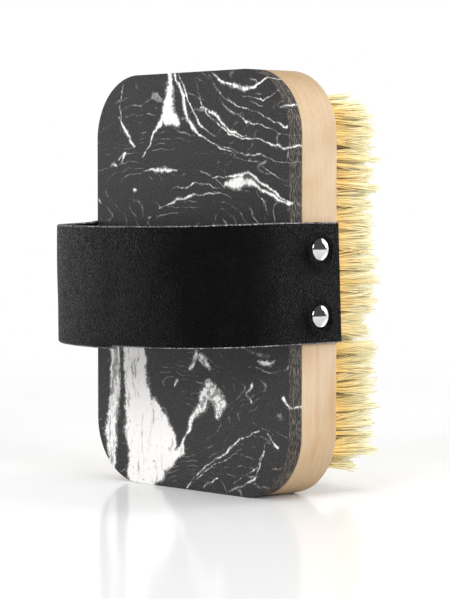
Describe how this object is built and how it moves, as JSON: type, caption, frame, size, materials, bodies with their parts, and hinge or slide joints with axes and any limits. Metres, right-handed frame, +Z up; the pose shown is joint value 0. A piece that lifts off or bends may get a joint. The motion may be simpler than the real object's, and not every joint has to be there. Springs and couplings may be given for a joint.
{
  "type": "body dry brush",
  "caption": "Hand-held dry body brush: rounded wooden block with a marbled cover, a bowed leather hand strap held by dome nails, and rows of pale plant-fibre tufts.",
  "frame": {"origin": "middle of the short end that the brush stands on, half way through the thickness of block and cover", "axes": "+Z up along the brush's length, +X across its width towards its right side seen from the cover, +Y from the cover to the bristle tips"},
  "size_m": [0.0938, 0.0694, 0.125],
  "materials": {
    "wood": "smooth, lightly oiled",
    "marbled_board": "satin, black with white marbling",
    "black_leather": "fine grain, semi-matt",
    "polished_nail": "polished",
    "plant_fibre": "stiff natural fibre",
    "steel_wire": "drawn wire"
  },
  "bodies": {
    "root": {"base_block": "wood", "marbled_cover": "marbled_board", "hand_strap": "black_leather", "nail_right_upper": "polished_nail", "nail_right_lower": "polished_nail", "nail_left_upper": "polished_nail", "nail_left_lower": "polished_nail", "bristle_row_01": "plant_fibre", "draw_wire_01": "steel_wire", "bristle_row_02": "plant_fibre", "draw_wire_02": "steel_wire", "bristle_row_03": "plant_fibre", "draw_wire_03": "steel_wire", "bristle_row_04": "plant_fibre", "draw_wire_04": "steel_wire", "bristle_row_05": "plant_fibre", "draw_wire_05": "steel_wire", "bristle_row_06": "plant_fibre", "draw_wire_06": "steel_wire", "bristle_row_07": "plant_fibre", "draw_wire_07": "steel_wire", "bristle_row_08": "plant_fibre", "draw_wire_08": "steel_wire", "bristle_row_09": "plant_fibre", "draw_wire_09": "steel_wire", "bristle_row_10": "plant_fibre", "draw_wire_10": "steel_wire", "bristle_row_11": "plant_fibre", "draw_wire_11": "steel_wire"}
  },
  "joints": []
}
